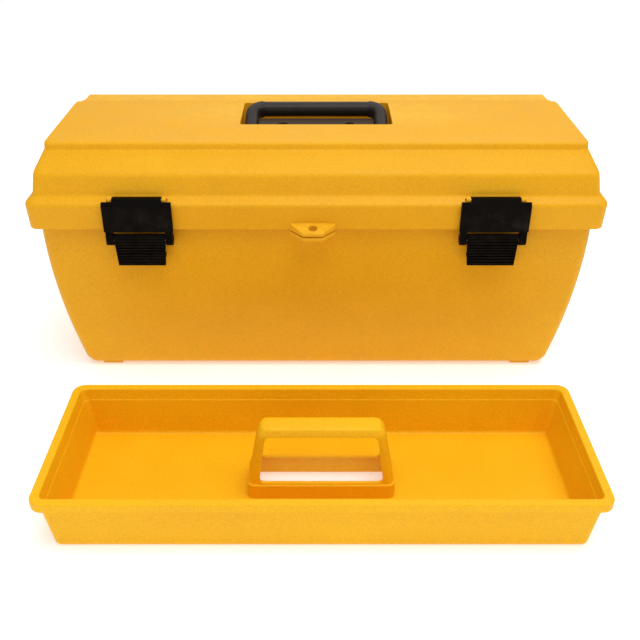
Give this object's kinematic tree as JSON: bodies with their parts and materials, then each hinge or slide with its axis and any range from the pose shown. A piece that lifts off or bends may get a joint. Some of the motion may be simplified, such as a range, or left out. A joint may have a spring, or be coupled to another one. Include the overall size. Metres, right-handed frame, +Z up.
{
  "type": "toolbox with tray",
  "caption": "Long moulded plastic toolbox with hinged lid, fold-down carrying handle and draw latches, and a lift-out tray with its own handle standing in front.",
  "frame": {"origin": "on the table, under the middle of the space that the box and the tray in front of it take up together", "axes": "+X along the box's length to the viewer's right, -Y to the front, where the latches and the tray are, +Z up"},
  "size_m": [0.515, 0.462, 0.2359],
  "materials": {
    "yellow_plastic": "satin moulded polypropylene",
    "black_plastic": "fine-grained black plastic",
    "steel": "plain drawn steel"
  },
  "bodies": {
    "base": {"base_shell": "yellow_plastic", "hinge_pin_left": "steel", "hinge_pin_right": "steel"},
    "lid": {"lid_shell": "yellow_plastic", "handle_bracket": "black_plastic", "handle_rod": "steel", "handle_screws": "steel", "latch_pin_left": "steel", "latch_pin_right": "steel"},
    "handle": {"handle_bail": "black_plastic"},
    "latch_left": {"latch_plate_left": "black_plastic", "lever_pin_left": "steel"},
    "latch_right": {"latch_plate_right": "black_plastic", "lever_pin_right": "steel"},
    "lever_left": {"latch_lever_left": "black_plastic"},
    "lever_right": {"latch_lever_right": "black_plastic"},
    "tray": {"tray": "yellow_plastic"}
  },
  "joints": [
    {"name": "lid_hinge", "type": "hinge", "parent": "base", "child": "lid", "pos_m": [0, 0.226, 0.155], "axis": [-1, 0, 0], "range_deg": [0, 110]},
    {"name": "handle_swing", "type": "hinge", "parent": "lid", "child": "handle", "pos_m": [0, 0.093, 0.215], "axis": [1, 0, 0], "range_deg": [0, 72]},
    {"name": "latch_left_swing", "type": "hinge", "parent": "lid", "child": "latch_left", "pos_m": [-0.1575, 0.0025, 0.188], "axis": [-1, 0, 0], "range_deg": [0, 100]},
    {"name": "latch_right_swing", "type": "hinge", "parent": "lid", "child": "latch_right", "pos_m": [0.1575, 0.0025, 0.188], "axis": [-1, 0, 0], "range_deg": [0, 100]},
    {"name": "lever_left_swing", "type": "hinge", "parent": "latch_left", "child": "lever_left", "pos_m": [-0.1575, -0.002, 0.152], "axis": [-1, 0, 0], "range_deg": [-5, 100]},
    {"name": "lever_right_swing", "type": "hinge", "parent": "latch_right", "child": "lever_right", "pos_m": [0.1575, -0.002, 0.152], "axis": [-1, 0, 0], "range_deg": [-5, 100]},
    {"name": "tray_lift", "type": "slide", "parent": "base", "child": "tray", "axis": [0, 0, 1], "range_m": [0, 0.18]}
  ]
}
